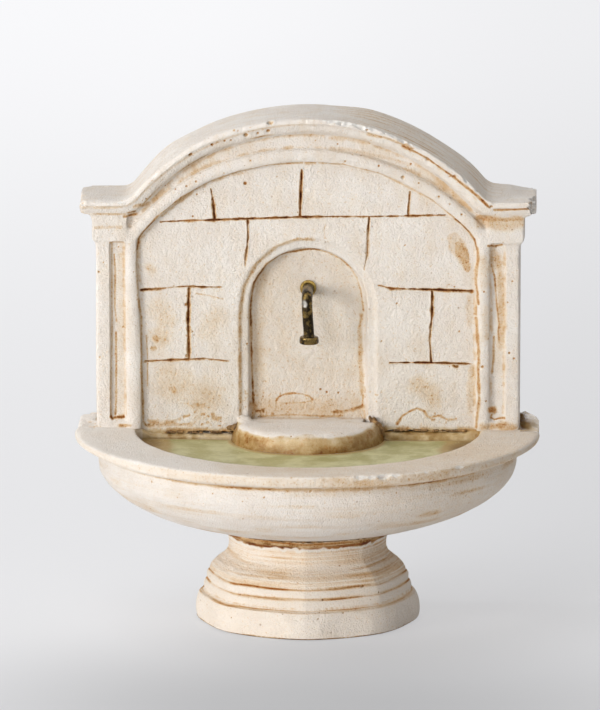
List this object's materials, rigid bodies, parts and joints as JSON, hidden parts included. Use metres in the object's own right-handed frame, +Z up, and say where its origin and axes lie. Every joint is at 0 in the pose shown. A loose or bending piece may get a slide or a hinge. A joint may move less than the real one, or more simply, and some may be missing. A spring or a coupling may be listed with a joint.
{
  "type": "miniature wall fountain",
  "caption": "Miniature wall fountain: half-round basin of still resin water on a turned foot, under an arched wall scored as blocks with a round-headed niche and a bent-nail spout.",
  "frame": {"origin": "middle of the foot's underside, on the axis that the foot and the bowl are turned about", "axes": "+X to the right along the wall as seen from the front, +Y back through the wall, +Z up"},
  "size_m": [0.0848, 0.0566, 0.0926],
  "materials": {
    "plaster": "matt cast plaster with a thin brown wash left in its recesses",
    "resin": "gloss, clouded green",
    "nail": "aged and darkened",
    "adhesive": "gloss, amber brown"
  },
  "bodies": {
    "root": {"foot": "plaster", "foot_bed": "adhesive", "basin": "plaster", "back_wall": "plaster", "wall_bed": "adhesive", "niche_step": "plaster", "water": "resin", "spout": "nail", "spout_bead": "adhesive"}
  },
  "joints": []
}
